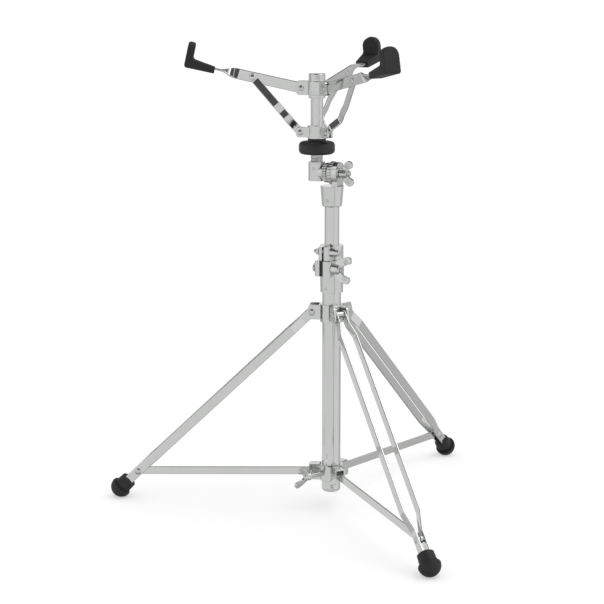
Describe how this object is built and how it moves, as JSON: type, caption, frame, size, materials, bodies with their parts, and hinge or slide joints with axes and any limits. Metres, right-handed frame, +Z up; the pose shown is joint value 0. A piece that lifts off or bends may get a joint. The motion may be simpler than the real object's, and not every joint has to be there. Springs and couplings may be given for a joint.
{
  "type": "snare drum stand",
  "caption": "Folding snare drum stand: double-braced tripod, sliding height tube with clamp, tilter and three-armed rubber-tipped basket.",
  "frame": {"origin": "on the floor under the axis of the main tube", "axes": "+Z up along the main tube, -Y towards the viewer of the picture, +X to the right"},
  "size_m": [0.5568, 0.6032, 0.7089],
  "materials": {
    "chrome_steel": "chrome-plated steel",
    "chrome_casting": "chrome-plated zinc casting",
    "zinc_fasteners": "zinc-plated steel",
    "black_rubber": "moulded black rubber",
    "black_plastic": "moulded black plastic"
  },
  "bodies": {
    "base": {"lower_tube": "chrome_steel", "tube_end_cap": "chrome_steel", "end_cap_rivet": "zinc_fasteners", "leg_hub": "chrome_casting", "leg_hub_screw": "zinc_fasteners", "leg_hub_rivets": "zinc_fasteners", "height_clamp": "chrome_casting", "clamp_screw": "zinc_fasteners", "clamp_bush": "black_plastic", "clamp_bolt": "zinc_fasteners"},
    "brace_hub": {"brace_hub": "chrome_casting", "brace_hub_pins": "zinc_fasteners"},
    "brace_1": {"brace_1": "chrome_steel"},
    "leg_1": {"leg_1_bars": "chrome_steel", "leg_1_pivot": "zinc_fasteners", "leg_1_rivet": "zinc_fasteners", "foot_1": "black_rubber"},
    "brace_2": {"brace_2": "chrome_steel"},
    "leg_2": {"leg_2_bars": "chrome_steel", "leg_2_pivot": "zinc_fasteners", "leg_2_rivet": "zinc_fasteners", "foot_2": "black_rubber"},
    "brace_3": {"brace_3": "chrome_steel"},
    "leg_3": {"leg_3_bars": "chrome_steel", "leg_3_pivot": "zinc_fasteners", "leg_3_rivet": "zinc_fasteners", "foot_3": "black_rubber"},
    "tripod_wing_bolt": {"tripod_wing_bolt": "chrome_casting"},
    "clamp_wing_nut": {"clamp_wing_nut": "chrome_casting"},
    "height_guide": {"upper_tube_guide": "black_plastic"},
    "upper_tube": {"upper_tube": "chrome_steel", "memory_lock": "chrome_casting", "memory_lock_nut": "zinc_fasteners", "tilter_base": "chrome_casting", "tilter_base_screw": "zinc_fasteners"},
    "memory_lock_screw": {"memory_lock_screw": "chrome_casting"},
    "tilter_head": {"tilter_head": "chrome_casting", "tilt_stud": "zinc_fasteners", "basket_post": "chrome_steel", "post_pin": "zinc_fasteners", "basket_crown": "chrome_casting", "crown_set_screw": "zinc_fasteners", "crown_pins": "zinc_fasteners"},
    "tilt_wing_nut": {"tilt_wing_nut": "chrome_casting"},
    "basket_slider": {"basket_slider": "chrome_casting", "slider_pins": "zinc_fasteners"},
    "handwheel": {"handwheel": "black_plastic", "handwheel_insert": "zinc_fasteners"},
    "arm_1": {"arm_1": "chrome_steel", "arm_1_rivet": "zinc_fasteners", "arm_tip_1": "black_rubber"},
    "strut_1": {"strut_1": "chrome_steel"},
    "arm_2": {"arm_2": "chrome_steel", "arm_2_rivet": "zinc_fasteners", "arm_tip_2": "black_rubber"},
    "strut_2": {"strut_2": "chrome_steel"},
    "arm_3": {"arm_3": "chrome_steel", "arm_3_rivet": "zinc_fasteners", "arm_tip_3": "black_rubber"},
    "strut_3": {"strut_3": "chrome_steel"}
  },
  "joints": [
    {"name": "brace_hub_slide", "type": "slide", "parent": "base", "child": "brace_hub", "axis": [0, 0, 1], "range_m": [0, 0.14784]},
    {"name": "brace_1_fold", "type": "hinge", "parent": "brace_hub", "child": "brace_1", "pos_m": [-0.02735, 0.00287, 0.054], "axis": [-0.1045, -0.9945, 0], "range_deg": [0, 83.4]},
    {"name": "leg_1_fold", "type": "hinge", "parent": "brace_1", "child": "leg_1", "pos_m": [-0.30049, 0.03158, 0.04371], "axis": [-0.1045, -0.9945, 0], "range_deg": [-40.24, 0]},
    {"name": "brace_2_fold", "type": "hinge", "parent": "brace_hub", "child": "brace_2", "pos_m": [0.01119, -0.02512, 0.054], "axis": [0.9135, 0.4067, 0], "range_deg": [0, 83.4]},
    {"name": "leg_2_fold", "type": "hinge", "parent": "brace_2", "child": "leg_2", "pos_m": [0.1229, -0.27603, 0.04371], "axis": [0.9135, 0.4067, 0], "range_deg": [-40.24, 0]},
    {"name": "brace_3_fold", "type": "hinge", "parent": "brace_hub", "child": "brace_3", "pos_m": [0.01616, 0.02225, 0.054], "axis": [-0.809, 0.5878, 0], "range_deg": [0, 83.4]},
    {"name": "leg_3_fold", "type": "hinge", "parent": "brace_3", "child": "leg_3", "pos_m": [0.1776, 0.24444, 0.04371], "axis": [-0.809, 0.5878, 0], "range_deg": [-40.24, 0]},
    {"name": "tripod_bolt_turn", "type": "hinge", "parent": "brace_hub", "child": "tripod_wing_bolt", "pos_m": [-0.01458, -0.01139, 0.054], "axis": [-0.788, -0.6157, 0], "continuous": true},
    {"name": "clamp_nut_turn", "type": "hinge", "parent": "base", "child": "clamp_wing_nut", "pos_m": [0.00149, -0.02742, 0.3755], "axis": [0.866, -0.5, 0], "continuous": true},
    {"name": "height_slide", "type": "slide", "parent": "base", "child": "height_guide", "axis": [0, 0, 1], "range_m": [0, 0.15]},
    {"name": "swivel", "type": "hinge", "parent": "height_guide", "child": "upper_tube", "pos_m": [0, 0, 0.16], "axis": [0, 0, 1], "continuous": true},
    {"name": "lock_screw_turn", "type": "hinge", "parent": "upper_tube", "child": "memory_lock_screw", "pos_m": [-0.00072, -0.02325, 0.4], "axis": [0.866, -0.5, 0], "continuous": true},
    {"name": "tilt", "type": "hinge", "parent": "upper_tube", "child": "tilter_head", "pos_m": [0, 0, 0.516], "axis": [0.9135, -0.4067, 0], "range_deg": [-90, 90]},
    {"name": "tilt_nut_turn", "type": "hinge", "parent": "tilter_head", "child": "tilt_wing_nut", "pos_m": [0.01233, -0.00549, 0.516], "axis": [0.9135, -0.4067, 0], "continuous": true},
    {"name": "slider_slide", "type": "slide", "parent": "tilter_head", "child": "basket_slider", "axis": [0, 0, 1], "range_m": [0, 0.03108]},
    {"name": "handwheel_turn", "type": "hinge", "parent": "basket_slider", "child": "handwheel", "pos_m": [-0.02284, 0.01017, 0.55], "axis": [0, 0, 1], "range_deg": [0, 5594.19]},
    {"name": "arm_1_fold", "type": "hinge", "parent": "tilter_head", "child": "arm_1", "pos_m": [-0.04631, 0.00894, 0.641], "axis": [-0.0523, 0.9986, 0], "range_deg": [0, 72.5]},
    {"name": "strut_1_fold", "type": "hinge", "parent": "basket_slider", "child": "strut_1", "pos_m": [-0.0478, 0.00886, 0.576], "axis": [-0.0523, 0.9986, 0], "range_deg": [0, 38.2]},
    {"name": "arm_2_fold", "type": "hinge", "parent": "tilter_head", "child": "arm_2", "pos_m": [-0.01004, -0.00954, 0.641], "axis": [-0.8387, -0.5446, 0], "range_deg": [0, 72.5]},
    {"name": "strut_2_fold", "type": "hinge", "parent": "basket_slider", "child": "strut_2", "pos_m": [-0.00922, -0.0108, 0.576], "axis": [-0.8387, -0.5446, 0], "range_deg": [0, 38.2]},
    {"name": "arm_3_fold", "type": "hinge", "parent": "tilter_head", "child": "arm_3", "pos_m": [-0.01217, 0.03111, 0.641], "axis": [0.891, -0.454, 0], "range_deg": [0, 72.5]},
    {"name": "strut_3_fold", "type": "hinge", "parent": "basket_slider", "child": "strut_3", "pos_m": [-0.01149, 0.03244, 0.576], "axis": [0.891, -0.454, 0], "range_deg": [0, 38.2]}
  ],
  "couplings": [
    {"joint": "brace_1_fold", "follows": "brace_hub_slide", "rad_per_m": 9.8464},
    {"joint": "leg_1_fold", "follows": "brace_hub_slide", "rad_per_m": -4.751},
    {"joint": "brace_2_fold", "follows": "brace_hub_slide", "rad_per_m": 9.8464},
    {"joint": "leg_2_fold", "follows": "brace_hub_slide", "rad_per_m": -4.751},
    {"joint": "brace_3_fold", "follows": "brace_hub_slide", "rad_per_m": 9.8464},
    {"joint": "leg_3_fold", "follows": "brace_hub_slide", "rad_per_m": -4.751},
    {"joint": "handwheel_turn", "follows": "slider_slide", "rad_per_m": 3141.6},
    {"joint": "arm_1_fold", "follows": "slider_slide", "rad_per_m": 40.715},
    {"joint": "strut_1_fold", "follows": "slider_slide", "rad_per_m": 21.452},
    {"joint": "arm_2_fold", "follows": "slider_slide", "rad_per_m": 40.715},
    {"joint": "strut_2_fold", "follows": "slider_slide", "rad_per_m": 21.452},
    {"joint": "arm_3_fold", "follows": "slider_slide", "rad_per_m": 40.715},
    {"joint": "strut_3_fold", "follows": "slider_slide", "rad_per_m": 21.452}
  ]
}
